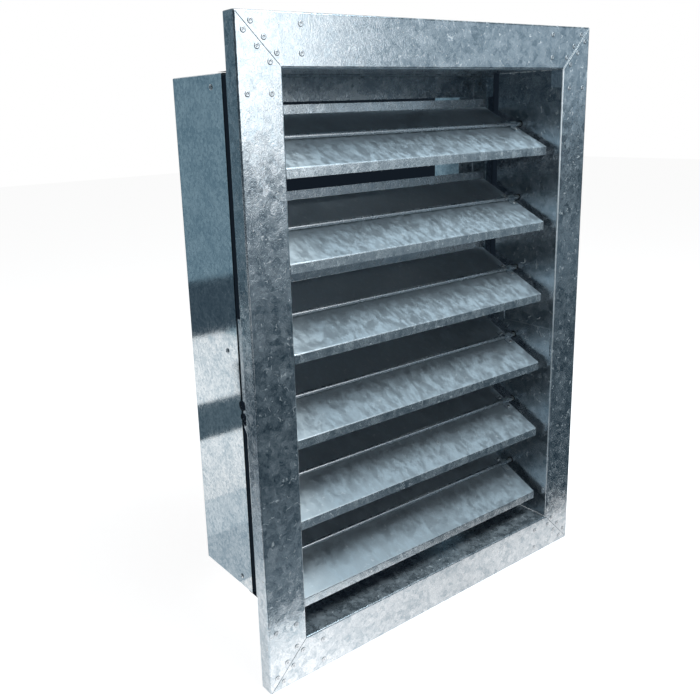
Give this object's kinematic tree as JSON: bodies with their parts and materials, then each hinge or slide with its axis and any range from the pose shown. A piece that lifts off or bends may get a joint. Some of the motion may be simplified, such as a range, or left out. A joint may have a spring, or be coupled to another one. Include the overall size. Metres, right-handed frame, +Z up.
{
  "type": "wall louver",
  "caption": "Adjustable wall louver in galvanised sheet: mitred flange frame, linked pivoting blades with hooked lips, and a rear duct sleeve with an inner angle frame.",
  "frame": {"origin": "centre of the louver's opening in the plane of the wall, level with the rear edge of the flange's outer lip", "axes": "+X to the right seen from the front, +Y into the wall along the duct, +Z up"},
  "size_m": [0.55, 0.2346, 0.7506],
  "materials": {
    "galvanised_sheet": "hot-dip galvanised, spangled, semi-gloss",
    "steel_rivets": "plated, dull",
    "plated_rod": "zinc plated, satin",
    "nylon_bushes": "moulded nylon, matte"
  },
  "bodies": {
    "frame": {"flange_top": "galvanised_sheet", "flange_bottom": "galvanised_sheet", "flange_left": "galvanised_sheet", "flange_right": "galvanised_sheet", "gusset_top_left": "galvanised_sheet", "gusset_top_right": "galvanised_sheet", "gusset_bottom_left": "galvanised_sheet", "gusset_bottom_right": "galvanised_sheet", "sleeve_left": "galvanised_sheet", "sleeve_right": "galvanised_sheet", "sleeve_top": "galvanised_sheet", "sleeve_bottom": "galvanised_sheet", "angle_top": "galvanised_sheet", "angle_bottom": "galvanised_sheet", "angle_left": "galvanised_sheet", "angle_right": "galvanised_sheet", "joint_plate_left": "galvanised_sheet", "joint_plate_right": "galvanised_sheet", "drive_plate": "galvanised_sheet", "gusset_rivets": "steel_rivets", "sleeve_rivets": "steel_rivets", "axle_bushes_left": "nylon_bushes", "axle_bushes_right": "nylon_bushes"},
    "blade_1": {"blade_1": "galvanised_sheet", "blade_1_axle": "plated_rod", "blade_1_clips": "galvanised_sheet", "blade_1_clip_rivets": "steel_rivets", "blade_1_crank": "plated_rod"},
    "blade_2": {"blade_2": "galvanised_sheet", "blade_2_axle": "plated_rod", "blade_2_clips": "galvanised_sheet", "blade_2_clip_rivets": "steel_rivets", "blade_2_crank": "plated_rod"},
    "blade_3": {"blade_3": "galvanised_sheet", "blade_3_axle": "plated_rod", "blade_3_clips": "galvanised_sheet", "blade_3_clip_rivets": "steel_rivets", "blade_3_crank": "plated_rod"},
    "blade_4": {"blade_4": "galvanised_sheet", "blade_4_axle": "plated_rod", "blade_4_clips": "galvanised_sheet", "blade_4_clip_rivets": "steel_rivets", "blade_4_crank": "plated_rod"},
    "blade_5": {"blade_5": "galvanised_sheet", "blade_5_axle": "plated_rod", "blade_5_clips": "galvanised_sheet", "blade_5_clip_rivets": "steel_rivets", "blade_5_crank": "plated_rod"},
    "blade_6": {"blade_6": "galvanised_sheet", "blade_6_axle": "plated_rod", "blade_6_clips": "galvanised_sheet", "blade_6_clip_rivets": "steel_rivets", "blade_6_crank": "plated_rod"},
    "link": {"link_bar": "plated_rod", "link_pins": "plated_rod", "link_pin_washers": "plated_rod"}
  },
  "joints": [
    {"name": "blade_1_pivot", "type": "hinge", "parent": "frame", "child": "blade_1", "pos_m": [0, 0.0496, 0.25325], "axis": [1, 0, 0], "range_deg": [-26, 57]},
    {"name": "blade_2_pivot", "type": "hinge", "parent": "frame", "child": "blade_2", "pos_m": [0, 0.0496, 0.15195], "axis": [1, 0, 0], "range_deg": [-26, 57]},
    {"name": "blade_3_pivot", "type": "hinge", "parent": "frame", "child": "blade_3", "pos_m": [0, 0.0496, 0.05065], "axis": [1, 0, 0], "range_deg": [-26, 57]},
    {"name": "blade_4_pivot", "type": "hinge", "parent": "frame", "child": "blade_4", "pos_m": [0, 0.0496, -0.05065], "axis": [1, 0, 0], "range_deg": [-26, 57]},
    {"name": "blade_5_pivot", "type": "hinge", "parent": "frame", "child": "blade_5", "pos_m": [0, 0.0496, -0.15195], "axis": [1, 0, 0], "range_deg": [-26, 57]},
    {"name": "blade_6_pivot", "type": "hinge", "parent": "frame", "child": "blade_6", "pos_m": [0, 0.0496, -0.25325], "axis": [1, 0, 0], "range_deg": [-26, 57]},
    {"name": "link_pivot", "type": "hinge", "parent": "blade_1", "child": "link", "pos_m": [0.2325, 0.01587, 0.2626], "axis": [1, 0, 0], "range_deg": [-57, 26]}
  ],
  "couplings": [
    {"joint": "blade_2_pivot", "follows": "blade_1_pivot", "ratio": 1},
    {"joint": "blade_3_pivot", "follows": "blade_1_pivot", "ratio": 1},
    {"joint": "blade_4_pivot", "follows": "blade_1_pivot", "ratio": 1},
    {"joint": "blade_5_pivot", "follows": "blade_1_pivot", "ratio": 1},
    {"joint": "blade_6_pivot", "follows": "blade_1_pivot", "ratio": 1},
    {"joint": "link_pivot", "follows": "blade_1_pivot", "ratio": -1}
  ]
}
